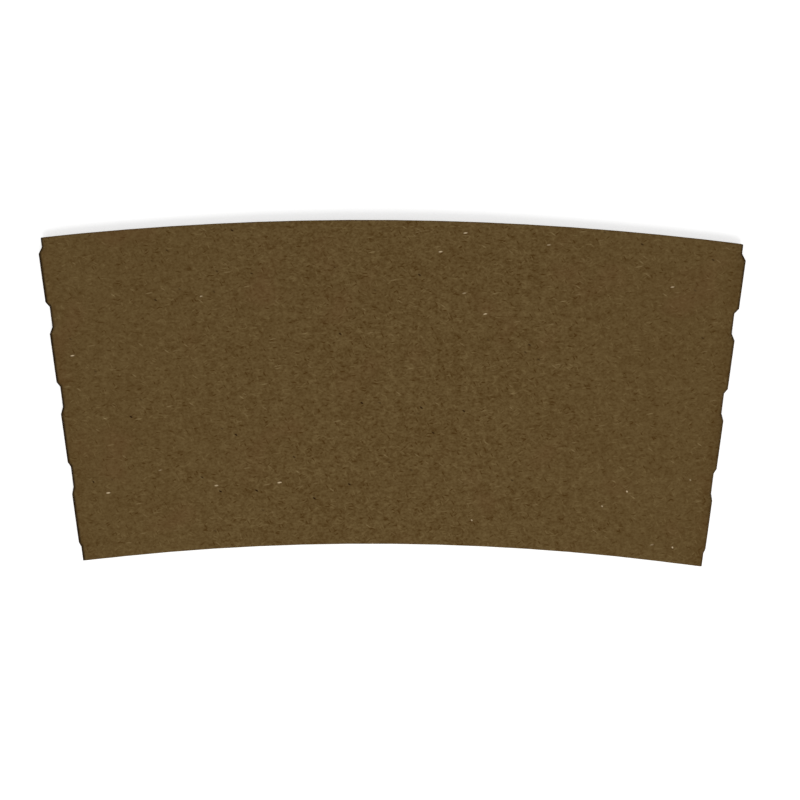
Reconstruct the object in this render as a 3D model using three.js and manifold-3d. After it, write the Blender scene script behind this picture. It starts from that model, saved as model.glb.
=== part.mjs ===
// Corrugated sleeve for a paper coffee cup, folded flat as it comes out of its pack.
//
// One die-cut blank of single-face corrugated board: a smooth outer liner with a fluted
// medium glued to its inside. The blank is modelled flat, with its flutes running through
// it, cut to its outline and perforated at the creases. It is then folded over at both
// creases and glued where its ends lap at the middle of the back.
//
// Millimetres. The folded sleeve lies on its back: X across, +Y towards the wide edge,
// +Z up out of the front panel. The origin is at the middle of the underside.

import * as THREE from 'three';
import { mergeVertices } from 'three/addons/utils/BufferGeometryUtils.js';
import Module from 'manifold-3d';

const wasm = await Module();
wasm.setup();

// Panel, as seen from the front
const TOP_WIDTH = 131.7; // between the crease lines at the top corners
const SIDE_HEIGHT = 59.7; // from the bottom corners up to the top ones
const LEFT_LEAN = 8.4; // degrees between the crease line and upright
const RIGHT_LEAN = 7.3;
const TOP_ARC_RADIUS = 560;
const BOTTOM_ARC_RADIUS = 439;
const ARC_STEPS = 16; // straight steps in each long arc

// Board
const LINER = 0.28;
const MEDIUM = 0.22;
const CALIPER = 1.4; // outer liner face to flute tips
const LINER_SAG = 0.02; // of the outer liner between the crests that it is glued to
const FLUTE_PITCH = 3.52;
const FLUTE_STEPS = 6; // straight steps in each flute
const BOND_SHARE = 0.08; // share of the pitch on each side of a crest that is glued

// Creases
const CRUSHED = 0.5; // board thickness under the creasing rule
const BAND_MARGIN = 0.2; // of flattened board past the bend on each side
const CRUSHED_RIM = 0.8; // past the band, where the flutes are still pinched shut
const RIM_SWELL = 0.01; // of the pinched board past the liner and the flute tips
const CRUSH_FADE = 4.2; // past the band, where the board regains its caliper
const NEUTRAL_DEPTH = 0.1; // depth under the outer face that keeps its length
const LEFT_BEND = { top: 0.85, bottom: 0.25 }; // inside radius of the fold
const RIGHT_BEND = { top: 1.0, bottom: 0.15 };

// Perforation along each crease, from the top corner down
const FIRST_BRIDGE = 1.7;
const CUT_LENGTH = 11.2;
const BRIDGE_LENGTH = 3.75;
const CUT_WIDTH = 0.1;
const CUT_RAMP = 1.3; // the edge springs straight over this length at a cut's top end
const CUT_STEP = 0.9; // and over this length at its bottom end

// Lap at the middle of the back
const LAP_WIDTH = 12;
const LAP_MARGIN = 1.5; // pressed flat this far past the lap
const LAP_FADE = 6.5; // past that, where the board regains its caliper
const PRESSED = 0.95; // board thickness in the lap
const GLUE_GAP = 0.1;
const GLUE_WIDTH = 9;
const GLUE_INSET = 2; // from the top and bottom edges
const GLUE_BITE = 0.08; // how far the glue wets into the board on each side

// Between the front and back panels
const INSIDE_GAP = 0.3;

// What follows from those sizes
const topHalf = TOP_WIDTH / 2;
const topSagitta = TOP_ARC_RADIUS - Math.sqrt(TOP_ARC_RADIUS ** 2 - topHalf ** 2);
const topCornerY = (SIDE_HEIGHT - topSagitta) / 2;
const bottomCornerY = topCornerY - SIDE_HEIGHT;
const lapHalf = LAP_WIDTH / 2;
const lapFlat = lapHalf + LAP_MARGIN;
const widestBend = Math.max(LEFT_BEND.top, LEFT_BEND.bottom, RIGHT_BEND.top, RIGHT_BEND.bottom);
const bandHalf = (Math.PI / 2) * neutralRadius(widestBend) + BAND_MARGIN;
const midHeight = Math.max(CALIPER + INSIDE_GAP / 2, widestBend + CRUSHED);
const lapHeight = 2 * PRESSED + GLUE_GAP;

// Radius at the depth that keeps its length, from the inside radius of the fold
function neutralRadius(bend) {
  return bend + CRUSHED - NEUTRAL_DEPTH;
}

// Each crease line runs from its top corner down along "along"; "out" points off the front
function makeCrease(side, leanDegrees, bend) {
  const lean = THREE.MathUtils.degToRad(leanDegrees);
  return {
    side,
    bend,
    length: SIDE_HEIGHT / Math.cos(lean),
    bottomX: side * (topHalf - SIDE_HEIGHT * Math.tan(lean)),
    top: new THREE.Vector2(side * topHalf, topCornerY),
    along: new THREE.Vector2(-side * Math.sin(lean), -Math.cos(lean)),
    out: new THREE.Vector2(side * Math.cos(lean), -Math.sin(lean)),
  };
}

const leftCrease = makeCrease(-1, LEFT_LEAN, LEFT_BEND);
const rightCrease = makeCrease(1, RIGHT_LEAN, RIGHT_BEND);
const creases = [leftCrease, rightCrease];
const bottomHalf = (rightCrease.bottomX - leftCrease.bottomX) / 2;
const bottomMiddleX = (rightCrease.bottomX + leftCrease.bottomX) / 2;

// The front panel crowns over the lap behind it
const crownHalf = Math.min(rightCrease.bottomX, -leftCrease.bottomX) - bandHalf;
const crownAtLap = crownShape(lapFlat);
const crownRise = Math.max(0, lapHeight + INSIDE_GAP - (2 * midHeight - CALIPER)) / crownAtLap;

// Distance of a flat point past the crease, and along it from its top corner
function creasePlace(crease, point) {
  const from = new THREE.Vector2(point.x, point.y).sub(crease.top);
  return { past: from.dot(crease.out), down: from.dot(crease.along) };
}

function creasePoint(crease, past, down) {
  return crease.top.clone().addScaledVector(crease.along, down).addScaledVector(crease.out, past);
}

function mirrored(crease, point) {
  const { past, down } = creasePlace(crease, point);
  return creasePoint(crease, -past, down);
}

function smooth(share) {
  const t = THREE.MathUtils.clamp(share, 0, 1);
  return t * t * (3 - 2 * t);
}

// Outline of the flat blank

// Height of a panel's top or bottom edge, both arcs being centred below the sleeve
function edgeHeight(fromMiddle, radius, half, cornerY) {
  const drop = Math.sqrt(radius ** 2 - half ** 2);
  return cornerY + Math.sqrt(radius ** 2 - fromMiddle ** 2) - drop;
}

const topEdge = (x) => edgeHeight(x, TOP_ARC_RADIUS, topHalf, topCornerY);
const bottomEdge = (x) =>
  edgeHeight(x - bottomMiddleX, BOTTOM_ARC_RADIUS, bottomHalf, bottomCornerY);

function edgePoints(edge, from, to) {
  const steps = Math.ceil((ARC_STEPS * Math.abs(to - from)) / TOP_WIDTH);
  return Array.from({ length: steps + 1 }, (_, i) => {
    const x = THREE.MathUtils.lerp(from, to, i / steps);
    return new THREE.Vector2(x, edge(x));
  });
}

// The back panels are the front's edges mirrored at the creases, so that front and back
// meet edge to edge, and each runs past the middle by half the lap
function blankOutline() {
  const backTop = (crease) => edgePoints(topEdge, crease.side * topHalf, -crease.side * lapHalf)
    .map((point) => mirrored(crease, point)).slice(1);
  const backBottom = (crease) =>
    edgePoints(bottomEdge, -crease.side * lapHalf, crease.bottomX)
      .map((point) => mirrored(crease, point)).slice(0, -1);
  return [
    ...edgePoints(topEdge, -topHalf, topHalf),
    ...backTop(rightCrease),
    ...backBottom(rightCrease),
    ...edgePoints(bottomEdge, rightCrease.bottomX, leftCrease.bottomX),
    ...backBottom(leftCrease).reverse(),
    ...backTop(leftCrease).reverse(),
  ];
}

// Solids

function toSolid(geometry) {
  geometry.deleteAttribute('normal');
  geometry.deleteAttribute('uv');
  const merged = mergeVertices(geometry);
  return new wasm.Manifold(new wasm.Mesh({
    numProp: 3,
    vertProperties: new Float32Array(merged.attributes.position.array),
    triVerts: new Uint32Array(merged.index.array),
  }));
}

// Extrudes an outline in X and Y upwards between two heights
function prism(points, low, high) {
  const geometry = new THREE.ExtrudeGeometry(
    new THREE.Shape(points), { depth: high - low, bevelEnabled: false });
  return toSolid(geometry.translate(0, 0, low));
}

// Section across the flutes: x across, y down into the board as a negative depth
const fluteSwing = (CALIPER - LINER - MEDIUM) / 2;

function mediumPoint(phase, face) {
  const turn = 2 * Math.PI * phase;
  const depth = LINER + MEDIUM / 2 + fluteSwing * (1 - Math.cos(turn));
  const slope = (fluteSwing * 2 * Math.PI * Math.sin(turn)) / FLUTE_PITCH;
  const half = (face * MEDIUM) / 2 / Math.hypot(1, slope);
  return new THREE.Vector2(FLUTE_PITCH * phase - slope * half, -(depth + half));
}

const flutePhases = Array.from({ length: FLUTE_STEPS }, (_, i) => i / FLUTE_STEPS);

function shifted(points, flutes) {
  return points.map((point) => new THREE.Vector2(point.x + flutes * FLUTE_PITCH, point.y));
}

// The board with its flutes filled, as far as the last flute on each side
function filledSection(starts) {
  const flute = flutePhases.map((phase) => mediumPoint(phase, 1));
  const liner = [
    new THREE.Vector2(FLUTE_PITCH, 0),
    new THREE.Vector2(FLUTE_PITCH / 2, -LINER_SAG),
  ];
  const [first] = starts;
  return new THREE.Shape([
    ...starts.flatMap((start) => shifted(flute, start)),
    ...shifted([mediumPoint(1, 1)], starts.at(-1)),
    ...starts.toReversed().flatMap((start) => shifted(liner, start)),
    new THREE.Vector2(first * FLUTE_PITCH, 0),
  ]);
}

// The space between the liner and one flute of the medium
function tunnelSection(start) {
  return new THREE.Shape(shifted([
    new THREE.Vector2(BOND_SHARE * FLUTE_PITCH, -LINER),
    ...flutePhases.slice(1).map((phase) => mediumPoint(phase, -1)),
    new THREE.Vector2((1 - BOND_SHARE) * FLUTE_PITCH, -LINER),
  ], start));
}

// Extrudes a section along Y, with its own y as height
function alongFlutes(sections, low, high) {
  const geometry = new THREE.ExtrudeGeometry(
    sections, { depth: high - low, bevelEnabled: false });
  const toY = new THREE.Matrix4().set(1, 0, 0, 0, 0, 0, -1, 0, 0, 1, 0, 0, 0, 0, 0, 1);
  return toSolid(geometry.applyMatrix4(toY).translate(0, high, 0));
}

// Single-face board with its flutes along Y, wide and tall enough to cut the blank from
function flutedBoard(outline) {
  const box = new THREE.Box2().setFromPoints(outline);
  const flutes = Math.ceil(Math.max(-box.min.x, box.max.x) / FLUTE_PITCH) + 1;
  const starts = Array.from({ length: 2 * flutes }, (_, i) => i - flutes);
  const low = box.min.y - FLUTE_PITCH;
  const high = box.max.y + FLUTE_PITCH;
  const tunnels = alongFlutes(starts.map(tunnelSection), low - FLUTE_PITCH, high + FLUTE_PITCH);
  return alongFlutes(filledSection(starts), low, high).subtract(tunnels);
}

function creaseStrip(crease, halfWidth, from, to) {
  return [[-1, from], [1, from], [1, to], [-1, to]]
    .map(([side, down]) => creasePoint(crease, side * halfWidth, down));
}

function cutStarts({ length }) {
  const starts = [];
  for (let at = FIRST_BRIDGE; at + CUT_LENGTH < length; at += CUT_LENGTH + BRIDGE_LENGTH) {
    starts.push(at);
  }
  return starts;
}

// The three panels of the blank lie flat, their outer liner at z = 0 and their flutes below.
// The bands under the creasing rules are left out, between rims that close the flutes.
function flatPanels() {
  const outline = blankOutline();
  const strip = (crease, halfWidth, past) =>
    creaseStrip(crease, halfWidth, -past, crease.length + past);
  let board = flutedBoard(outline);
  for (const crease of creases) {
    const rims = strip(crease, bandHalf + CRUSHED_RIM, CALIPER);
    board = board.add(prism(rims, -CALIPER - RIM_SWELL, RIM_SWELL));
  }
  board = board.intersect(prism(outline, -2 * CALIPER, CALIPER));
  for (const crease of creases) {
    board = board.subtract(prism(strip(crease, bandHalf, 2 * CALIPER), -2 * CALIPER, CALIPER));
  }
  return board;
}

// Bend lines: the mesh gets an edge wherever the board bends

function toMesh(solid) {
  const { vertProperties, triVerts } = solid.getMesh();
  const points = [];
  for (let i = 0; i < vertProperties.length; i += 3) {
    points.push(new THREE.Vector3().fromArray(vertProperties, i));
  }
  const triangles = [];
  for (let i = 0; i < triVerts.length; i += 3) triangles.push([...triVerts.slice(i, i + 3)]);
  return { points, triangles };
}

const ON_LINE = 1e-4;

// Splits the triangles along the line where value(point) is 0, inside the zone. Triangles
// that share an edge share its new point, so the mesh stays closed.
function scoreMesh(mesh, value, inZone) {
  const { points } = mesh;
  const splits = new Map();
  const split = (a, b) => {
    const [low, high] = a < b ? [a, b] : [b, a];
    const key = `${low} ${high}`;
    if (!splits.has(key)) {
      const from = value(points[low]);
      const to = value(points[high]);
      const crosses = from * to < 0 && Math.min(Math.abs(from), Math.abs(to)) > ON_LINE;
      const point = points[low].clone().lerp(points[high], crosses ? from / (from - to) : 0);
      splits.set(key, crosses && inZone(point) ? points.push(point) - 1 : -1);
    }
    return splits.get(key);
  };
  const triangles = mesh.triangles.flatMap(([a, b, c]) => {
    const ab = split(a, b);
    const bc = split(b, c);
    const ca = split(c, a);
    if (ab >= 0 && bc >= 0) return [[ab, b, bc], [ab, bc, c], [ab, c, a]];
    if (bc >= 0 && ca >= 0) return [[bc, c, ca], [bc, ca, a], [bc, a, b]];
    if (ca >= 0 && ab >= 0) return [[ca, a, ab], [ca, ab, b], [ca, b, c]];
    if (ab >= 0) return [[ab, b, c], [ab, c, a]];
    if (bc >= 0) return [[bc, c, a], [bc, a, b]];
    if (ca >= 0) return [[ca, a, b], [ca, b, c]];
    return [[a, b, c]];
  });
  return { points, triangles };
}

const FADE_SHARES = [0.5, 1];

// Edges across the panels, beside the crease, where the board regains its caliper
function scoreFades(mesh, crease) {
  const place = (point) => creasePlace(crease, point);
  const nearby = (point) => Math.abs(place(point).past) < bandHalf + CRUSH_FADE + ON_LINE;
  return [-1, 1].reduce((scored, side) => FADE_SHARES.reduce((partly, share) => scoreMesh(
    partly,
    (point) => side * place(point).past - (bandHalf + share * CRUSH_FADE),
    nearby,
  ), scored), mesh);
}

// Edges across the back panel, where the board is pressed thinner into the lap
function scoreLap(mesh, crease) {
  const onBack = (point) => creasePlace(crease, point).past > bandHalf + CRUSH_FADE;
  return [0, 1].reduce((scored, share) => scoreMesh(
    scored,
    (point) => crease.side * mirrored(crease, point).x - (lapFlat + share * LAP_FADE),
    onBack,
  ), mesh);
}

// Creased bands

const WELD = 1e-3;
const BEND_TURNS = [Math.PI / 6, Math.PI / 3, Math.PI / 2]; // of a bridge, from its middle out

function creaseRadius({ bend, length }, down) {
  return neutralRadius(THREE.MathUtils.lerp(bend.top, bend.bottom, down / length));
}

// Distances down the crease where its edge changes, with the rows that a cut parts
function creaseRows(crease) {
  const rows = [{ down: 0, parted: false }];
  for (const start of cutStarts(crease)) {
    rows.push(
      { down: start, parted: false },
      { down: start + CUT_RAMP, parted: true },
      { down: start + CUT_LENGTH - CUT_STEP, parted: true },
      { down: start + CUT_LENGTH, parted: false },
    );
  }
  return [...rows, { down: crease.length, parted: false }];
}

// Fills the band between two panels with a grid that shares their edge points. Its rows run
// across the crease and its columns along it, and it parts at the crease line inside a cut.
function addBand(mesh, crease) {
  const rows = creaseRows(crease);
  const onRim = (point) =>
    Math.abs(Math.abs(creasePlace(crease, point).past) - bandHalf) < WELD;
  let { points, triangles } = rows.slice(1, -1).reduce((scored, { down }) => scoreMesh(
    scored, (point) => creasePlace(crease, point).down - down, onRim), mesh);
  triangles = triangles.filter((corners) => !corners.every((corner) => onRim(points[corner])));

  const rimPoints = points.map((point, index) => ({ point, index }))
    .filter(({ point }) => onRim(point));
  const nearestRim = (target) => rimPoints.reduce((best, rim) =>
    (rim.point.distanceToSquared(target) < best.point.distanceToSquared(target) ? rim : best));
  const flatPoint = (past, down, depth) => {
    const { x, y } = creasePoint(crease, past, down);
    return new THREE.Vector3(x, y, -depth);
  };

  // Each node of the grid is a pair of points, on the board's outer and inner face
  const depths = [-RIM_SWELL, CALIPER + RIM_SWELL];
  const rimNode = (side, row) => depths.map((depth) =>
    nearestRim(flatPoint(side * bandHalf, row.down, depth)).index);
  const newNode = (past, down) => depths.map((depth) =>
    points.push(flatPoint(past, down, depth)) - 1);
  const grid = rows.map((row, index) => {
    const isEnd = index === 0 || index === rows.length - 1;
    const half = (side) => {
      const rim = rimNode(side, row);
      const rimDown = creasePlace(crease, points[rim[0]]).down;
      const radius = creaseRadius(crease, row.down);
      const bends = BEND_TURNS.map((turn) => {
        const past = turn * radius;
        const share = isEnd ? past / bandHalf : 0;
        return newNode(side * past, THREE.MathUtils.lerp(row.down, rimDown, share));
      });
      return [...bends, rim];
    };
    const middle = row.parted ? null : newNode(0, row.down);
    const edge = (side) => middle ?? newNode((side * CUT_WIDTH) / 2, row.down);
    return { front: [...half(-1).reverse(), edge(-1)], back: [edge(1), ...half(1)] };
  });

  const quad = (a, b, c, d) => {
    const [p, q, r, t] = crease.side < 0 ? [a, b, c, d] : [d, c, b, a];
    triangles.push([p, q, r], [p, r, t]);
  };
  const sheet = (first, second) => {
    for (let i = 0; i + 1 < first.length; i += 1) {
      quad(first[i][0], first[i + 1][0], second[i + 1][0], second[i][0]);
      quad(second[i][1], second[i + 1][1], first[i + 1][1], first[i][1]);
    }
  };
  const wall = (a, b) => quad(a[0], a[1], b[1], b[0]);
  for (let i = 0; i + 1 < grid.length; i += 1) {
    const [row, next] = [grid[i], grid[i + 1]];
    sheet(row.front, next.front);
    sheet(row.back, next.back);
    if (rows[i].parted || rows[i + 1].parted) {
      wall(row.front.at(-1), next.front.at(-1));
      wall(next.back[0], row.back[0]);
    }
  }
  const [top, bottom] = [grid[0], grid.at(-1)];
  for (const half of ['front', 'back']) {
    for (let i = 0; i + 1 < top[half].length; i += 1) {
      wall(top[half][i], top[half][i + 1]);
      wall(bottom[half][i + 1], bottom[half][i]);
    }
  }
  return { points, triangles };
}

// Folding

function crownShape(x) {
  return Math.abs(x) < crownHalf ? (1 + Math.cos((Math.PI * x) / crownHalf)) / 2 : 0;
}

// 1 at the bridges, where the board wraps round, and 0 where a cut lets it spring straight
function wrapShare(crease, down) {
  const start = cutStarts(crease).find((at) => down > at && down < at + CUT_LENGTH);
  if (start === undefined) return 1;
  const ramp = smooth((down - start) / CUT_RAMP);
  const step = smooth((start + CUT_LENGTH - down) / CUT_STEP);
  return 1 - Math.min(ramp, step);
}

// Takes a point of the flat blank to its place in the folded sleeve
function foldPoint(point) {
  const places = creases.map((crease) => ({ crease, ...creasePlace(crease, point) }));
  const { crease, past, down } = places.reduce((a, b) => (b.past > a.past ? b : a));
  const onBack = past > 0;
  const distance = Math.abs(past);
  const folded = creasePoint(crease, -distance, down);

  const fade = smooth((distance - bandHalf) / CRUSH_FADE);
  const lap = onBack
    ? smooth((lapFlat + LAP_FADE - crease.side * folded.x) / LAP_FADE) : 0;
  const lift = crease.side > 0 ? lap * (PRESSED + GLUE_GAP) : 0;
  const crown = onBack ? 0 : crownRise * crownShape(point.x);
  const radius = creaseRadius(crease, down);
  const outerHeight = THREE.MathUtils.lerp(
    radius + NEUTRAL_DEPTH, midHeight + crown - lift, fade);
  const creasedThickness = THREE.MathUtils.lerp(CRUSHED, CALIPER, fade);
  const thickness = THREE.MathUtils.lerp(creasedThickness, PRESSED, lap);
  const flattened = lap * THREE.MathUtils.clamp(point.z, -LINER_SAG, 0); // sag pressed out
  const depth = ((flattened - point.z) * thickness) / CALIPER;

  let offset = -distance;
  let height = outerHeight - depth;
  const bendLength = (Math.PI / 2) * radius;
  if (distance < bendLength) {
    const turn = distance / radius;
    const reach = radius + NEUTRAL_DEPTH - depth;
    const wrap = wrapShare(crease, down);
    offset = THREE.MathUtils.lerp(offset, reach * Math.cos(turn) - bendLength, wrap);
    height = THREE.MathUtils.lerp(height, reach * Math.sin(turn), wrap);
  }
  const place = creasePoint(crease, offset, down);
  return new THREE.Vector3(place.x, place.y, midHeight + (onBack ? -height : height));
}

function meshSolid({ points, triangles }) {
  return new wasm.Manifold(new wasm.Mesh({
    numProp: 3,
    vertProperties: new Float32Array(points.flatMap((point) => point.toArray())),
    triVerts: new Uint32Array(triangles.flat()),
  }));
}

function foldedBoard() {
  let mesh = toMesh(flatPanels());
  for (const crease of creases) {
    mesh = addBand(scoreLap(scoreFades(mesh, crease), crease), crease);
  }
  return meshSolid({ points: mesh.points.map(foldPoint), triangles: mesh.triangles });
}

// Line of glue between the flute tips of one end and the liner of the other
function glueLine() {
  const half = GLUE_WIDTH / 2;
  const outline = [
    new THREE.Vector2(-half, bottomEdge(0) + GLUE_INSET),
    new THREE.Vector2(half, bottomEdge(0) + GLUE_INSET),
    new THREE.Vector2(half, topEdge(half) - GLUE_INSET),
    new THREE.Vector2(-half, topEdge(half) - GLUE_INSET),
  ];
  return prism(outline, PRESSED - GLUE_BITE, PRESSED + GLUE_GAP + GLUE_BITE);
}

function toGeometry(solid) {
  const { vertProperties, triVerts } = solid.getMesh();
  const geometry = new THREE.BufferGeometry();
  geometry.setAttribute('position', new THREE.BufferAttribute(vertProperties, 3));
  geometry.setIndex(new THREE.BufferAttribute(triVerts, 1));
  geometry.computeVertexNormals();
  return geometry;
}

const kraftBoard = new THREE.MeshStandardMaterial({ color: 0x5c492b, roughness: 0.95, metalness: 0 });

const sleeve = new THREE.Mesh(toGeometry(foldedBoard().add(glueLine())), kraftBoard);
sleeve.name = 'sleeve';

const model = new THREE.Group();
model.add(sleeve);

export default model;
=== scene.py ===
"""Looks of a corrugated coffee cup sleeve that lies folded flat, seen from above.

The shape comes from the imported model. The script dresses a welded copy of it in kraft
paper, and sets the table, the light and the camera. The layout and the finishes are in
millimetres and degrees. All else is in metres, as the model is, unless its name says
otherwise.
"""

import logging
import math
from dataclasses import dataclass, field
from enum import Enum
from typing import ClassVar, Mapping, Optional, Sequence, Tuple, Union

import bpy
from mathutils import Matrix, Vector


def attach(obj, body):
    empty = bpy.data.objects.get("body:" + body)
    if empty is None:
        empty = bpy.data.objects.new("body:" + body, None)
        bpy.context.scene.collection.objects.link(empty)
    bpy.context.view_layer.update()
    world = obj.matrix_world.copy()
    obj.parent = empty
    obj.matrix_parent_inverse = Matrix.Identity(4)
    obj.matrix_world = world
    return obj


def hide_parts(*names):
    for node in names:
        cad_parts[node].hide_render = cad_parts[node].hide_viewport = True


Colour = Tuple[float, float, float, float]
Triple = Tuple[float, float, float]
Number = Union[float, "Wire"]
Owner = Union[bpy.types.Material, bpy.types.World]

MM = 0.001
PAPER_SPECULAR = 0.08
SCREEN_WHITE = 255
SRGB_KNEE = 0.04045
SRGB_SLOPE = 12.92
SRGB_OFFSET = 0.055
SRGB_POWER = 2.4
SEED_STEP = (37.3, -23.9, 11.1)
NOISE_MIDDLE = 0.5
# A Mix node also has sockets for numbers and vectors, so its colours go by number.
MIX_FACTOR, MIX_FIRST, MIX_SECOND, MIX_RESULT = 0, 6, 7, 2

log = logging.getLogger("sleeve")

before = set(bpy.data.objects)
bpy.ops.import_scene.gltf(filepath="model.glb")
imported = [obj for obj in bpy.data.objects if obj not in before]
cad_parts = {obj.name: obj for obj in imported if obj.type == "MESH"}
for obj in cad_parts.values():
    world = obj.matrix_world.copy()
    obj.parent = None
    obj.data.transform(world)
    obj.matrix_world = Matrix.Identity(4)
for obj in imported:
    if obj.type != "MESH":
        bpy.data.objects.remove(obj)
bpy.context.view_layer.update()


def srgb(red: float, green: float, blue: float) -> Colour:
    """Turns a colour as seen on a screen into the linear colour that a shader takes.

    Args:
        red: Red part, 0 to 255.
        green: Green part, 0 to 255.
        blue: Blue part, 0 to 255.

    Returns:
        The linear colour, opaque.
    """

    def linear(part: float) -> float:
        """Returns one part of the colour as linear light."""
        share = part / SCREEN_WHITE
        if share <= SRGB_KNEE:
            return share / SRGB_SLOPE
        return ((share + SRGB_OFFSET) / (1 + SRGB_OFFSET)) ** SRGB_POWER

    return (linear(red), linear(green), linear(blue), 1.0)


class Wire:
    """A number worked out in a shader. Python's operators on it add the Math nodes."""

    def __init__(self, shader: "Shader", socket: bpy.types.NodeSocket) -> None:
        """Wraps an output socket of the shader."""
        self.shader = shader
        self.socket = socket

    def __add__(self, other: Number) -> "Wire":
        """Returns the sum."""
        return self.shader.math("ADD", self, other)

    def __radd__(self, other: Number) -> "Wire":
        """Returns the sum, with the plain number first."""
        return self.shader.math("ADD", other, self)

    def __sub__(self, other: Number) -> "Wire":
        """Returns the difference."""
        return self.shader.math("SUBTRACT", self, other)

    def __rsub__(self, other: Number) -> "Wire":
        """Returns the difference, with the plain number first."""
        return self.shader.math("SUBTRACT", other, self)

    def __mul__(self, other: Number) -> "Wire":
        """Returns the product."""
        return self.shader.math("MULTIPLY", self, other)

    def __rmul__(self, other: Number) -> "Wire":
        """Returns the product, with the plain number first."""
        return self.shader.math("MULTIPLY", other, self)

    def __gt__(self, other: Number) -> "Wire":
        """Returns 1 where this number is the larger, and 0 elsewhere."""
        return self.shader.math("GREATER_THAN", self, other)

    def __lt__(self, other: Number) -> "Wire":
        """Returns 1 where this number is the smaller, and 0 elsewhere."""
        return self.shader.math("LESS_THAN", self, other)


class Shader:
    """The node tree of a material or of the world, with short ways to add to it."""

    def __init__(self, owner: Owner) -> None:
        """Takes over the owner's node tree and empties it."""
        owner.use_nodes = True
        self.owner = owner
        self.tree = owner.node_tree
        self.tree.nodes.clear()

    @classmethod
    def of_material(cls, name: str) -> "Shader":
        """Makes a material of that name and returns its shader."""
        return cls(bpy.data.materials.new(name))

    def node(
        self,
        kind: str,
        settings: Optional[Mapping[str, object]] = None,
        inputs: Optional[Mapping[Union[str, int], object]] = None,
    ) -> bpy.types.Node:
        """Adds a node, sets it up and fills its sockets.

        Args:
            kind: The node's type, such as ShaderNodeMath.
            settings: Its own settings, set before the sockets.
            inputs: A value, a wire or a socket for each named or numbered input.

        Returns:
            The new node.
        """
        made = self.tree.nodes.new(kind)
        for key, value in (settings or {}).items():
            setattr(made, key, value)
        for key, value in (inputs or {}).items():
            if isinstance(value, Wire):
                value = value.socket
            if isinstance(value, bpy.types.NodeSocket):
                self.tree.links.new(value, made.inputs[key])
            else:
                made.inputs[key].default_value = value
        return made

    def math(self, operation: str, *values: Number) -> Wire:
        """Adds a Math node on one to three numbers and returns its result."""
        made = self.node(
            "ShaderNodeMath", {"operation": operation}, dict(enumerate(values))
        )
        return Wire(self, made.outputs[0])

    def ramp(self, value: Wire, low: float, high: float) -> Wire:
        """Returns a smooth step from 0 to 1 as the value goes from low to high."""
        made = self.node(
            "ShaderNodeMapRange",
            {"interpolation_type": "SMOOTHSTEP", "clamp": True},
            {"Value": value, "From Min": low, "From Max": high},
        )
        return Wire(self, made.outputs["Result"])

    def mix(
        self, factor: Number, first: object, second: object
    ) -> bpy.types.NodeSocket:
        """Mixes two colours.

        Args:
            factor: 0 for the first colour, 1 for the second.
            first: A colour or a colour socket.
            second: A colour or a colour socket.

        Returns:
            The socket of the mixed colour.
        """
        made = self.node(
            "ShaderNodeMix",
            {"data_type": "RGBA", "clamp_factor": True},
            {MIX_FACTOR: factor, MIX_FIRST: first, MIX_SECOND: second},
        )
        return made.outputs[MIX_RESULT]

    def place_mm(self) -> bpy.types.NodeSocket:
        """Returns the point on the piece in millimetres."""
        place = self.node("ShaderNodeTexCoord").outputs["Object"]
        made = self.node(
            "ShaderNodeVectorMath",
            {"operation": "SCALE"},
            {"Vector": place, "Scale": 1 / MM},
        )
        return made.outputs["Vector"]

    def scaled(self, vector: bpy.types.NodeSocket, by: Triple) -> bpy.types.NodeSocket:
        """Returns a vector with each part multiplied by its own number."""
        made = self.node(
            "ShaderNodeVectorMath", {"operation": "MULTIPLY"}, {0: vector, 1: by}
        )
        return made.outputs["Vector"]

    def parts(self, vector: bpy.types.NodeSocket) -> Tuple[Wire, Wire, Wire]:
        """Returns the three parts of a vector."""
        made = self.node("ShaderNodeSeparateXYZ", inputs={0: vector})
        x, y, z = (Wire(self, made.outputs[part]) for part in "XYZ")
        return x, y, z

    def facing_up(self) -> Wire:
        """Returns the Z part of the surface's normal."""
        geometry = self.node("ShaderNodeNewGeometry")
        return self.parts(geometry.outputs["Normal"])[2]

    def turned(
        self, place: bpy.types.NodeSocket, size: Triple, degrees: float, seed: int
    ) -> bpy.types.NodeSocket:
        """Lays a pattern out in a direction of its own.

        Args:
            place: The point in millimetres.
            size: Length, width and depth that one unit of the pattern takes.
            degrees: Turn of the pattern's length from X.
            seed: Picks a part of the endless pattern.

        Returns:
            The socket of the pattern's own coordinates.
        """
        made = self.node(
            "ShaderNodeMapping",
            {"vector_type": "TEXTURE"},
            {
                "Vector": place,
                "Location": tuple(step * seed for step in SEED_STEP),
                "Rotation": (0.0, 0.0, math.radians(degrees)),
                "Scale": size,
            },
        )
        return made.outputs["Vector"]

    def noise(self, where: bpy.types.NodeSocket, detail: float, rough: float) -> Wire:
        """Returns soft noise about 0, most of it between -0.25 and 0.25."""
        made = self.node(
            "ShaderNodeTexNoise",
            inputs={
                "Vector": where,
                "Scale": 1.0,
                "Detail": detail,
                "Roughness": rough,
            },
        )
        return Wire(self, made.outputs[0]) - NOISE_MIDDLE

    def close(self, surface: bpy.types.NodeSocket) -> Owner:
        """Joins the surface to the tree's output and returns the tree's owner."""
        is_world = isinstance(self.owner, bpy.types.World)
        kind = "ShaderNodeOutputWorld" if is_world else "ShaderNodeOutputMaterial"
        self.node(kind, inputs={"Surface": surface})
        return self.owner

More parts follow.
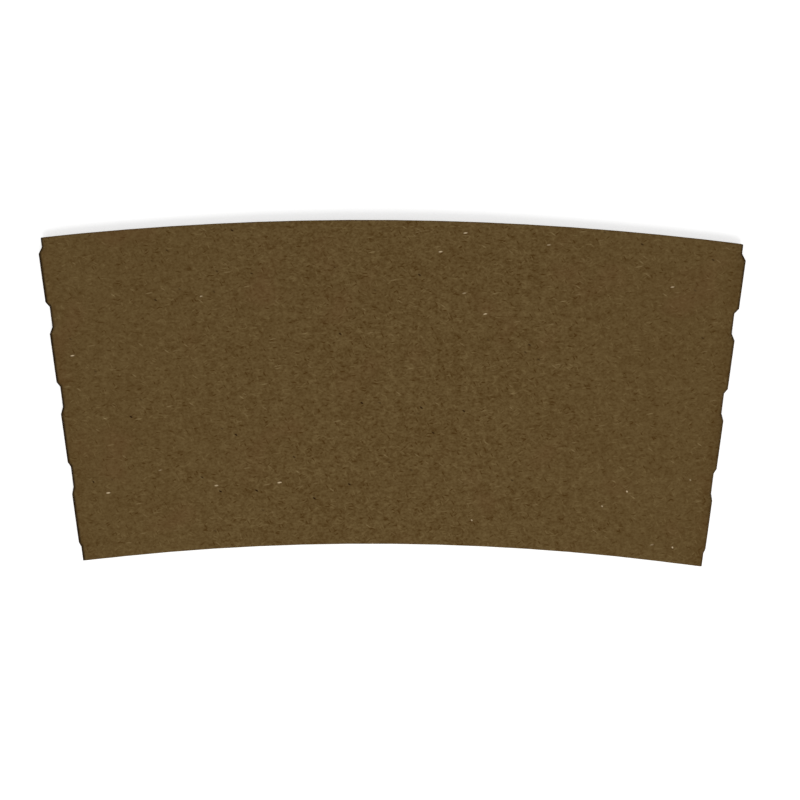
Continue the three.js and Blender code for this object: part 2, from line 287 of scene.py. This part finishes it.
    def close_matt(
        self, colour: bpy.types.NodeSocket, roughness: Number, relief: "Relief"
    ) -> bpy.types.Material:
        """Finishes the tree as matt paper with a fine relief.

        Args:
            colour: The paper's colour.
            roughness: The paper's roughness.
            relief: The paper's relief and how much of it shows.

        Returns:
            The finished material.
        """
        bump = self.node(
            "ShaderNodeBump",
            inputs={
                "Strength": relief.strength,
                "Distance": MM,
                "Height": relief.height_mm,
            },
        )
        surface = self.node(
            "ShaderNodeBsdfPrincipled",
            inputs={
                "Base Color": colour,
                "Roughness": roughness,
                "Specular IOR Level": PAPER_SPECULAR,
                "Normal": bump.outputs["Normal"],
            },
        )
        return self.close(surface.outputs["BSDF"])


@dataclass(frozen=True)
class Relief:
    """Height of a surface above its mesh, and how strongly it shows."""

    height_mm: Wire
    strength: float


class Side(Enum):
    """A side of the sleeve, by the sign of its X."""

    LEFT = -1
    RIGHT = 1


class Surface(Enum):
    """What a face of the board belongs to, by the number of its material."""

    LINER = 0
    MEDIUM = 1
    CUT_EDGE = 2


@dataclass(frozen=True)
class Crease:
    """One of the two folds: its lean, and how round it is at its two ends."""

    side: Side
    lean: float
    top_bend: float
    bottom_bend: float


@dataclass(frozen=True)
class Layout:
    """Sizes of the sleeve that the finishes follow, in millimetres and degrees."""

    top_width: float = 131.7
    side_height: float = 59.7
    top_arc_radius: float = 560.0
    flute_pitch: float = 3.52
    lap_half: float = 6.0
    band_half: float = 2.4
    neutral_depth: float = 0.1
    neutral_radius: float = 0.4
    first_bridge: float = 1.7
    cut_length: float = 11.2
    bridge_length: float = 3.75
    cut_ramp: float = 1.3
    cut_step: float = 0.9
    left: Crease = Crease(Side.LEFT, lean=8.4, top_bend=0.85, bottom_bend=0.25)
    right: Crease = Crease(Side.RIGHT, lean=7.3, top_bend=1.0, bottom_bend=0.15)

    def crease(self, side: Side) -> Crease:
        """Returns the crease on that side."""
        return self.left if side is Side.LEFT else self.right

    def top_corner(self, side: Side) -> Vector:
        """Returns the top end of a crease line."""
        half = self.top_width / 2
        sagitta = self.top_arc_radius - math.sqrt(self.top_arc_radius**2 - half**2)
        return Vector((side.value * half, (self.side_height - sagitta) / 2))

    def outward(self, side: Side) -> Vector:
        """Returns the direction square to a crease and away from the panels."""
        lean = math.radians(self.crease(side).lean)
        return Vector((side.value * math.cos(lean), -math.sin(lean)))

    def downward(self, side: Side) -> Vector:
        """Returns the direction down a crease from its top corner."""
        lean = math.radians(self.crease(side).lean)
        return Vector((-side.value * math.sin(lean), -math.cos(lean)))

    def length(self, side: Side) -> float:
        """Returns the length of a crease."""
        return self.side_height / math.cos(math.radians(self.crease(side).lean))

    def inset(self, side: Side, x: float, y: float) -> float:
        """Returns how far a point lies inside a crease line."""
        return -(Vector((x, y)) - self.top_corner(side)).dot(self.outward(side))

    def top_arc_centre(self) -> float:
        """Returns the height in Y of the centre of the top edge's arc."""
        half = self.top_width / 2
        corner = self.top_corner(Side.LEFT).y
        return corner - math.sqrt(self.top_arc_radius**2 - half**2)


@dataclass(frozen=True)
class Mottle:
    """Soft lighter and darker patches of about one size, in millimetres."""

    size: Triple
    degrees: float
    seed: int
    detail: float = 2.0
    harshness: float = 0.5

    def patches(self, shader: Shader, place: bpy.types.NodeSocket) -> Wire:
        """Returns the patches as noise about 0."""
        where = shader.turned(place, self.size, self.degrees, self.seed)
        return shader.noise(where, self.detail, self.harshness)


@dataclass(frozen=True)
class Strands:
    """One lay of short straight fibres that all point about the same way.

    Each fibre fills one cell of a pattern, and only the kept share of the cells
    has one.
    """

    core: ClassVar[float] = 0.1
    reach: ClassVar[float] = 0.3
    faintest: ClassVar[float] = 0.3
    added_strength: ClassVar[float] = 0.95

    degrees: float
    length: float
    width: float
    kept: float
    seed: int

    def mask(self, shader: Shader, place: bpy.types.NodeSocket) -> Wire:
        """Returns 1 on the strands and 0 between them.

        Args:
            shader: The material that the strands are drawn in.
            place: The point in millimetres.

        Returns:
            The strands, each with a strength of its own.
        """
        across = 2 * self.reach
        size = (self.length / across, self.width / across, 1.0)
        cells = shader.node(
            "ShaderNodeTexVoronoi",
            {"voronoi_dimensions": "2D", "feature": "F1"},
            {
                "Vector": shader.turned(place, size, self.degrees, self.seed),
                "Scale": 1.0,
            },
        )
        distance = Wire(shader, cells.outputs["Distance"])
        near = 1 - shader.ramp(distance, self.core, self.reach)
        lot, chance, _ = shader.parts(cells.outputs["Color"])
        strength = self.faintest + chance * chance * self.added_strength
        return near * (lot < self.kept) * strength


@dataclass(frozen=True)
class Pulp:
    """The look that all surfaces of the board share: mottled recycled fibre."""

    dark: Colour = srgb(71, 48, 13)
    light: Colour = srgb(109, 90, 56)
    pale_hair: Colour = srgb(158, 138, 98)
    pale_fleck: Colour = srgb(188, 168, 136)
    black_fleck: Colour = srgb(38, 20, 0)
    pale_lays: Sequence[Strands] = (
        Strands(4, 1.5, 0.26, 0.16, 1),
        Strands(-24, 1.3, 0.24, 0.14, 2),
        Strands(38, 1.2, 0.24, 0.14, 3),
        Strands(-68, 1.2, 0.24, 0.12, 4),
    )
    dark_lays: Sequence[Strands] = (
        Strands(-6, 1.3, 0.30, 0.16, 6),
        Strands(33, 1.1, 0.28, 0.14, 7),
        Strands(-58, 1.1, 0.28, 0.12, 8),
    )
    hair_lays: Sequence[Strands] = (
        Strands(11, 1.8, 0.25, 0.03, 24),
        Strands(-34, 1.4, 0.25, 0.025, 25),
    )
    fleck_lays: Sequence[Strands] = (
        Strands(8, 1.0, 0.34, 0.0014, 21),
        Strands(-50, 0.5, 0.38, 0.0005, 22),
    )
    speck_lays: Sequence[Strands] = (Strands(-30, 0.85, 0.42, 0.0085, 23),)
    fine: Mottle = Mottle((0.5, 0.38, 0.38), 5, seed=11, harshness=0.6)
    clump: Mottle = Mottle((1.15, 0.8, 0.8), -8, seed=12, harshness=0.55)
    cloud: Mottle = Mottle((9.0, 6.0, 6.0), 20, seed=13)
    fine_tone: float = 1.05
    clump_tone: float = 0.68
    cloud_tone: float = 0.12
    strand_tone: float = 0.43
    fine_felt: float = 0.5
    clump_felt: float = 0.4
    strand_felt: float = 0.35
    hair_cover: float = 0.34
    fleck_cover: float = 1.2
    speck_cover: float = 1.1

    @staticmethod
    def strewn(
        shader: Shader, place: bpy.types.NodeSocket, lays: Sequence[Strands]
    ) -> Wire:
        """Returns the strands of some lays together."""
        first, *others = (lay.mask(shader, place) for lay in lays)
        return sum(others, first)

    def grain(self, shader: Shader, place: bpy.types.NodeSocket) -> Tuple[Wire, Wire]:
        """Works out the mottle and the fibres.

        Args:
            shader: The material that they are drawn in.
            place: The point in millimetres.

        Returns:
            The lightness from about -0.5 to 0.5, and the height of the fibre felt.
        """
        fine = self.fine.patches(shader, place)
        clump = self.clump.patches(shader, place)
        cloud = self.cloud.patches(shader, place)
        pale = self.strewn(shader, place, self.pale_lays)
        dark = self.strewn(shader, place, self.dark_lays)
        mottle = fine * self.fine_tone + clump * self.clump_tone
        clouded = mottle + cloud * self.cloud_tone
        lightness = clouded + (pale - dark) * self.strand_tone
        felt = fine * self.fine_felt + clump * self.clump_felt + pale * self.strand_felt
        return lightness, felt

    def flecks(
        self, shader: Shader, place: bpy.types.NodeSocket, colour: bpy.types.NodeSocket
    ) -> bpy.types.NodeSocket:
        """Scatters pale hairs and the few bright or nearly black specks of the pulp.

        Args:
            shader: The material that they are drawn in.
            place: The point in millimetres.
            colour: The paper without them.

        Returns:
            The socket of the paper's colour with them.
        """
        hair = self.strewn(shader, place, self.hair_lays)
        bright = self.strewn(shader, place, self.fleck_lays)
        black = self.strewn(shader, place, self.speck_lays)
        haired = shader.mix(hair * self.hair_cover, colour, self.pale_hair)
        paled = shader.mix(bright * self.fleck_cover, haired, self.pale_fleck)
        return shader.mix(black * self.speck_cover, paled, self.black_fleck)


@dataclass(frozen=True)
class FoldShadeAndBruise:
    """The dark line along a crease, darkest at its outer edge: painted shade where the
    fold rounds away from the light, with some real bruising from folding.
    """

    solid_share: ClassVar[float] = 0.3
    upright_below: ClassVar[float] = 0.3
    upright_share: ClassVar[float] = 0.3

    width: float
    top: float
    bottom: float


@dataclass(frozen=True)
class KraftLiner:
    """The smooth outer face, with painted shade and some real bruising at the folds,
    and flutes that show through as slight relief with a painted highlight on their
    crests.
    """

    layout: Layout
    pulp: Pulp = Pulp()
    name: str = "kraft_liner"
    roughness: float = 0.88
    added_roughness: float = 0.1
    relief: float = 0.5
    lightness: float = 0.5
    # The flute crests get a bump and a painted highlight in the colour.
    ridge_top: float = 0.05
    ridge_width: float = 0.55
    ridge_painted_highlight: float = 0.055
    ridge_height: float = 0.012
    crest: float = 0.7
    uneven_crest: float = 2.0
    uneven: Mottle = Mottle((7.0, 16.0, 7.0), 0, seed=31)
    felt_height: float = 0.02
    # Each fold's dark edge line: painted shade where the fold rounds away, with some
    # real bruising.
    left_shade_and_bruise: FoldShadeAndBruise = FoldShadeAndBruise(width=0.72, top=0.95, bottom=0.88)
    right_shade_and_bruise: FoldShadeAndBruise = FoldShadeAndBruise(width=0.62, top=0.66, bottom=0.24)
    # Patchy strength of the fold lines' painted shade and bruising.
    fold_line_unevenness: float = 1.1
    fold_line_patches: Mottle = Mottle((1.6, 2.4, 1.6), 0, seed=33, harshness=0.6)
    # Painted shade beside each fold, where the board curves down.
    shade_reach: float = 4.2
    left_shade: float = 0.1
    right_shade: float = 0.15
    rough_half: float = 10.0
    smooth_half: float = 62.0
    smooth_contrast: float = 0.9
    added_contrast: float = 0.35
    rim_width: float = 0.45
    rim_darkening: float = 0.22
    # Dark colour of the painted shade and bruising at the folds, and of the darker top
    # edge.
    dark_edge_colour: Colour = srgb(33, 20, 3)
    red_stain: Colour = srgb(98, 70, 42)
    stain_share: float = 0.3
    stain_from: float = 0.08
    stain_full: float = 0.3
    blotch: Mottle = Mottle((11.0, 9.0, 9.0), 30, seed=32, detail=1.0)

    def flute_ridge(self, shader: Shader, place: bpy.types.NodeSocket) -> Wire:
        """Works out where the liner is glued to the crests of the flutes.

        The crests run along Y on the front. Each back panel is the front mirrored at
        its crease, so its crests are the mirrored ones.

        Args:
            shader: The material that the ridges are drawn in.
            place: The point in millimetres.

        Returns:
            1 on the crests, falling to 0 beside them.
        """
        x, y, _ = shader.parts(place)

        def unfolded(side: Side) -> Wire:
            """Returns X on the flat blank of a point on that side's back panel."""
            out = self.layout.outward(side)
            turn = 2 * out.x * out
            start = turn.dot(self.layout.top_corner(side))
            return x * (1 - turn.x) - y * turn.y + start

        is_front = shader.facing_up() > 0.0
        is_left = x < self.layout.lap_half
        back = unfolded(Side.LEFT) * is_left + unfolded(Side.RIGHT) * (1 - is_left)
        across = x * is_front + back * (1 - is_front)
        pitch = self.layout.flute_pitch
        from_crest = shader.math("PINGPONG", across, pitch / 2)
        return 1 - shader.ramp(from_crest, self.ridge_top, self.ridge_width)

    def inset(
        self, shader: Shader, place: bpy.types.NodeSocket, side: Side
    ) -> Wire:
        """Returns how far a point lies inside a crease line, in millimetres."""
        corner, out = self.layout.top_corner(side), self.layout.outward(side)
        x, y, _ = shader.parts(place)
        return corner.dot(out) - (x * out.x + y * out.y)

    def fold_edge(
        self, shader: Shader, place: bpy.types.NodeSocket, side: Side, shade_and_bruise: FoldShadeAndBruise
    ) -> Wire:
        """Works out the dark line at the very edge of one fold: painted shade where the
        fold rounds away, with some real bruising.

        The edge lies on the crease line beside a cut, where the board has sprung
        straight, and a little inside it at the bridges, where the board wraps round.

        Args:
            shader: The material that the line is drawn in.
            place: The point in millimetres.
            side: The fold's side.
            shade_and_bruise: How wide and how dark the line is.

        Returns:
            The line's strength, falling to 0 inside the fold and lower on its upright
            outer side.
        """
        layout, crease = self.layout, self.layout.crease(side)
        along, length = layout.downward(side), layout.length(side)
        inset = self.inset(shader, place, side)
        x, y, _ = shader.parts(place)
        down = (x * along.x + y * along.y) - layout.top_corner(side).dot(along)
        pitch = layout.cut_length + layout.bridge_length
        past_start = shader.math("FLOORED_MODULO", down - layout.first_bridge, pitch)
        sprung = shader.math(
            "MINIMUM",
            shader.ramp(past_start, 0.0, layout.cut_ramp),
            shader.ramp(layout.cut_length - past_start, 0.0, layout.cut_step),
        )
        narrowing = (crease.bottom_bend - crease.top_bend) / length
        radius = down * narrowing + (crease.top_bend + layout.neutral_radius)
        wrapped = radius * (math.pi / 2 - 1) - layout.neutral_depth
        edge = wrapped * (1 - sprung)
        solid = shade_and_bruise.width * shade_and_bruise.solid_share
        line = 1 - shader.ramp(inset - edge, solid, shade_and_bruise.width)
        strength = down * ((shade_and_bruise.bottom - shade_and_bruise.top) / length) + shade_and_bruise.top
        tilt = shader.math("ABSOLUTE", shader.facing_up())
        level = shader.ramp(tilt, 0.0, shade_and_bruise.upright_below)
        kept = shade_and_bruise.upright_share + level * (1 - shade_and_bruise.upright_share)
        return line * strength * kept

    def shade(self, shader: Shader, place: bpy.types.NodeSocket) -> Wire:
        """Returns the painted shade beside the folds, where the board curves down away
        from the light.
        """
        left, right = (
            1 - shader.ramp(self.inset(shader, place, side), 0.0, self.shade_reach)
            for side in (Side.LEFT, Side.RIGHT)
        )
        return left * self.left_shade + right * self.right_shade

    def contrast(self, shader: Shader, place: bpy.types.NodeSocket) -> Wire:
        """Returns the grain's strength, which handling has lowered at the sides."""
        from_middle = shader.math("ABSOLUTE", shader.parts(place)[0])
        middle = 1 - shader.ramp(from_middle, self.rough_half, self.smooth_half)
        return self.smooth_contrast + middle * self.added_contrast

    def rim(self, shader: Shader, place: bpy.types.NodeSocket) -> Wire:
        """Returns 1 at the front's top edge, which is drawn darker, and 0 inside it."""
        centre = self.layout.top_arc_centre()
        made = shader.node(
            "ShaderNodeVectorMath",
            {"operation": "MULTIPLY_ADD"},
            {0: place, 1: (1.0, 1.0, 0.0), 2: (0.0, -centre, 0.0)},
        )
        length = shader.node(
            "ShaderNodeVectorMath",
            {"operation": "LENGTH"},
            {0: made.outputs["Vector"]},
        )
        radius = self.layout.top_arc_radius
        from_centre = Wire(shader, length.outputs["Value"])
        return shader.ramp(from_centre, radius - self.rim_width, radius)

    def material(self) -> bpy.types.Material:
        """Returns the finished material."""
        shader = Shader.of_material(self.name)
        place = shader.scaled(shader.place_mm(), (1.0, 1.0, 0.0))
        grain, felt = self.pulp.grain(shader, place)
        ridge = self.flute_ridge(shader, place)
        uneven = self.uneven.patches(shader, place) * self.uneven_crest
        crest = ridge * (self.crest + uneven)
        # The crests get a painted highlight, and the paper beside the folds painted
        # shade.
        shown = grain * self.contrast(shader, place) + crest * self.ridge_painted_highlight
        lightness = self.lightness + shown - self.shade(shader, place)
        paper = shader.mix(lightness, self.pulp.dark, self.pulp.light)
        blotch = self.blotch.patches(shader, place)
        stain = shader.ramp(blotch, self.stain_from, self.stain_full)
        stained = shader.mix(stain * self.stain_share, paper, self.red_stain)
        flecked = self.pulp.flecks(shader, place, stained)
        # The fold-edge lines are painted shade with some real bruising, patchy in
        # strength.
        fold_line_patches = self.fold_line_patches.patches(shader, place) * self.fold_line_unevenness
        left = self.fold_edge(shader, place, Side.LEFT, self.left_shade_and_bruise)
        right = self.fold_edge(shader, place, Side.RIGHT, self.right_shade_and_bruise)
        fold_shade_and_bruise = (left + right) * (1 + fold_line_patches)
        folded = shader.mix(fold_shade_and_bruise, flecked, self.dark_edge_colour)
        # The front's top edge is drawn darker.
        rim = self.rim(shader, place) * self.rim_darkening
        rimmed = shader.mix(rim, folded, self.dark_edge_colour)
        height = felt * self.felt_height + crest * self.ridge_height
        roughness = self.roughness + grain * self.added_roughness
        return shader.close_matt(rimmed, roughness, Relief(height, self.relief))


@dataclass(frozen=True)
class FlutedMedium:
    """The rougher, slightly greyer paper of the flutes, seen from the open ends."""

    pulp: Pulp = Pulp(dark=srgb(66, 50, 27), light=srgb(108, 90, 62))
    name: str = "kraft_medium"
    roughness: float = 0.94
    relief: float = 0.6
    lightness: float = 0.45
    felt_height: float = 0.03

    def material(self) -> bpy.types.Material:
        """Returns the finished material."""
        shader = Shader.of_material(self.name)
        grain, felt = self.pulp.grain(shader, shader.place_mm())
        paper = shader.mix(self.lightness + grain, self.pulp.dark, self.pulp.light)
        relief = Relief(felt * self.felt_height, self.relief)
        return shader.close_matt(paper, self.roughness, relief)


@dataclass(frozen=True)
class CutEdge:
    """The raw edge that the die leaves, with torn fibres lying along the board."""

    pulp: Pulp = Pulp(dark=srgb(70, 53, 28), light=srgb(124, 104, 72))
    name: str = "kraft_cut_edge"
    roughness: float = 0.95
    relief: float = 0.8
    lightness: float = 0.5
    felt_height: float = 0.04
    ply: Mottle = Mottle((2.2, 2.2, 0.06), 0, seed=41, harshness=0.6)
    ply_tone: float = 0.9
    ply_height: float = 0.03

    def material(self) -> bpy.types.Material:
        """Returns the finished material."""
        shader = Shader.of_material(self.name)
        place = shader.place_mm()
        grain, felt = self.pulp.grain(shader, place)
        plies = self.ply.patches(shader, place)
        lightness = self.lightness + grain + plies * self.ply_tone
        paper = shader.mix(lightness, self.pulp.dark, self.pulp.light)
        height = felt * self.felt_height + plies * self.ply_height
        return shader.close_matt(paper, self.roughness, Relief(height, self.relief))


@dataclass
class FoldedBoard:
    """The whole sleeve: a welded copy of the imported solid, dressed face by face."""

    layout: Layout
    node: str = "sleeve"
    name: str = "folded_board"
    weld: float = 0.001 * MM
    smooth_below: float = math.radians(40)
    wall_below: float = 0.35
    facing_end: float = 0.85
    facing_side: float = 0.995
    lap_end_gap_mm: float = 0.1
    cut_depth_mm: float = 0.12
    ray_start: float = 0.005 * MM
    piece: Optional[bpy.types.Object] = field(default=None, init=False)

    def build(self) -> bpy.types.Object:
        """Copies the solid, welds its loose triangles and smooths the bends.

        Returns:
            The new piece, at the origin.
        """
        bpy.ops.object.select_all(action="DESELECT")
        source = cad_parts[self.node]
        mesh = source.data.copy()
        mesh.name = self.name
        self.piece = bpy.data.objects.new(self.name, mesh)
        bpy.context.scene.collection.objects.link(self.piece)
        self.piece.select_set(True)
        bpy.context.view_layer.objects.active = self.piece
        if mesh.has_custom_normals:
            bpy.ops.mesh.customdata_custom_splitnormals_clear()
        bpy.ops.object.mode_set(mode="EDIT")
        bpy.ops.mesh.select_all(action="SELECT")
        bpy.ops.mesh.remove_doubles(threshold=self.weld)
        bpy.ops.object.mode_set(mode="OBJECT")
        bpy.ops.object.shade_smooth_by_angle(angle=self.smooth_below)
        return self.piece

    def surface_of(self, face: bpy.types.MeshPolygon) -> Surface:
        """Tells what a face belongs to.

        Args:
            face: A face of the piece.

        Returns:
            The liner for what shows from outside, the cut edge for the walls that the
            die made, and the medium for all that lies inside.
        """
        normal, centre = face.normal, face.center
        x, y = centre.x / MM, centre.y / MM
        inset = min(self.layout.inset(side, x, y) for side in Side)
        if abs(normal.z) < self.wall_below:
            from_lap_end = abs(abs(x) - self.layout.lap_half)
            near_lap_end = from_lap_end < self.lap_end_gap_mm
            at_lap_end = near_lap_end and abs(normal.x) > self.facing_side
            at_rim = abs(normal.y) > self.facing_end
            if at_rim or at_lap_end or inset < self.cut_depth_mm:
                return Surface.CUT_EDGE
        in_band = inset < self.layout.band_half
        way = normal if in_band else Vector((0, 0, math.copysign(1, normal.z)))
        start = centre + normal * self.ray_start
        is_hit = self.piece.ray_cast(start, way)[0]
        return Surface.MEDIUM if is_hit else Surface.LINER

    def sort_faces(self) -> None:
        """Puts each face of the piece in the material slot of its surface."""
        mesh = self.piece.data
        found = [self.surface_of(face) for face in mesh.polygons]
        for surface in Surface:
            bpy.ops.object.mode_set(mode="EDIT")
            bpy.ops.mesh.select_mode(type="FACE")
            bpy.ops.mesh.select_all(action="DESELECT")
            bpy.ops.object.mode_set(mode="OBJECT")
            for face in mesh.polygons:
                face.select = found[face.index] is surface
            self.piece.active_material_index = surface.value
            bpy.ops.object.mode_set(mode="EDIT")
            bpy.ops.object.material_slot_assign()
            bpy.ops.object.mode_set(mode="OBJECT")
            log.info("%s: %d faces", surface.name.lower(), found.count(surface))

    def dress(self) -> None:
        self.piece.data.materials.clear()
        for finish in (KraftLiner(self.layout), FlutedMedium(), CutEdge()):
            self.piece.data.materials.append(finish.material())
        self.sort_faces()
        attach(self.piece, "root")
        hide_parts(self.node)


def shown_rays(shader: Shader) -> Wire:
    """Returns 1 for rays that show a thing, and 0 for those that carry its light on."""
    path = shader.node("ShaderNodeLightPath")
    straight, mirrored, through = (
        Wire(shader, path.outputs[name])
        for name in ("Is Camera Ray", "Is Glossy Ray", "Is Transmission Ray")
    )
    return shader.math("MAXIMUM", shader.math("MAXIMUM", straight, mirrored), through)


@dataclass(frozen=True)
class Table:
    """The plain white surface that the sleeve lies on, in metres."""

    name: str = "table_top"
    size: float = 6.0
    height: float = -0.02 * MM
    reflectance: float = 0.8
    glow: float = 0.52

    def material(self) -> bpy.types.Material:
        """Returns matt white that still shows the sleeve's shadow."""
        shader = Shader.of_material("table_white")
        white = (self.reflectance, self.reflectance, self.reflectance, 1.0)
        matt = shader.node(
            "ShaderNodeBsdfDiffuse", inputs={"Color": white, "Roughness": 0.0}
        )
        glow = shader.node(
            "ShaderNodeEmission",
            inputs={"Strength": shown_rays(shader) * self.glow},
        )
        both = shader.node(
            "ShaderNodeAddShader",
            inputs={0: matt.outputs[0], 1: glow.outputs[0]},
        )
        return shader.close(both.outputs[0])

    def build(self) -> bpy.types.Object:
        """Returns:
            The table top.
        """
        bpy.ops.object.select_all(action="DESELECT")
        bpy.ops.mesh.primitive_plane_add(size=self.size, location=(0, 0, self.height))
        top = bpy.context.active_object
        top.name = self.name
        bpy.ops.object.transform_apply(location=True, rotation=True, scale=True)
        top.data.materials.append(self.material())
        return top


@dataclass(frozen=True)
class Lamp:
    """A square soft box that looks at the sleeve, in metres."""

    name: str
    place: Triple
    size: float
    watts: float

    def build(self) -> bpy.types.Object:
        """Hangs the lamp and returns it."""
        light = bpy.data.lights.new(self.name, "AREA")
        light.shape = "SQUARE"
        light.size = self.size
        light.energy = self.watts
        lamp = bpy.data.objects.new(self.name, light)
        bpy.context.scene.collection.objects.link(lamp)
        lamp.location = self.place
        lamp.rotation_euler = (-Vector(self.place)).to_track_quat("-Z", "Y").to_euler()
        return lamp


@dataclass(frozen=True)
class Studio:
    """Soft light from the whole room, and a large lamp in front of the sleeve."""

    room_light: float = 0.72
    lamps: Sequence[Lamp] = (
        Lamp("soft_box", place=(0.04, -0.46, 0.64), size=0.45, watts=3.15),
    )

    def build(self) -> None:
        """Lights the room and hangs the lamps."""
        shader = Shader(bpy.data.worlds.new("white_room"))
        level = shader.node(
            "ShaderNodeMapRange",
            inputs={
                "Value": shown_rays(shader),
                "To Min": self.room_light,
                "To Max": 1.0,
            },
        )
        white = shader.node(
            "ShaderNodeBackground", inputs={"Strength": level.outputs["Result"]}
        )
        bpy.context.scene.world = shader.close(white.outputs["Background"])
        for lamp in self.lamps:
            lamp.build()
            log.info("lamp %s hangs at %s", lamp.name, lamp.place)


@dataclass(frozen=True)
class Viewpoint:
    """The camera, straight above the sleeve and turned a little against it."""

    lens_mm: float = 100.0
    sensor_mm: float = 36.0
    frame_width_mm: float = 148.16
    centre_mm: Tuple[float, float] = (1.73, -1.425)
    focus_height_mm: float = 2.3
    roll_degrees: float = 0.55

    def build(self) -> bpy.types.Object:
        """Makes the scene's camera and returns it."""
        data = bpy.data.cameras.new("above")
        data.lens = self.lens_mm
        data.sensor_width = self.sensor_mm
        away_mm = self.frame_width_mm * self.lens_mm / self.sensor_mm
        camera = bpy.data.objects.new("above", data)
        bpy.context.scene.collection.objects.link(camera)
        x, y = self.centre_mm
        camera.location = (x * MM, y * MM, (self.focus_height_mm + away_mm) * MM)
        camera.rotation_euler = (0.0, 0.0, math.radians(self.roll_degrees))
        bpy.context.scene.camera = camera
        return camera


def main() -> None:
    """Builds the sleeve, the table, the light and the camera."""
    logging.basicConfig(level=logging.INFO, format="%(name)s: %(message)s")
    bpy.context.scene.view_settings.view_transform = "Standard"
    board = FoldedBoard(Layout())
    piece = board.build()
    board.dress()
    log.info("%s: %d faces", piece.name, len(piece.data.polygons))
    log.info("table: %s", Table().build().name)
    Studio().build()
    log.info("camera: %s", Viewpoint().build().name)


if __name__ == "__main__":
    main()
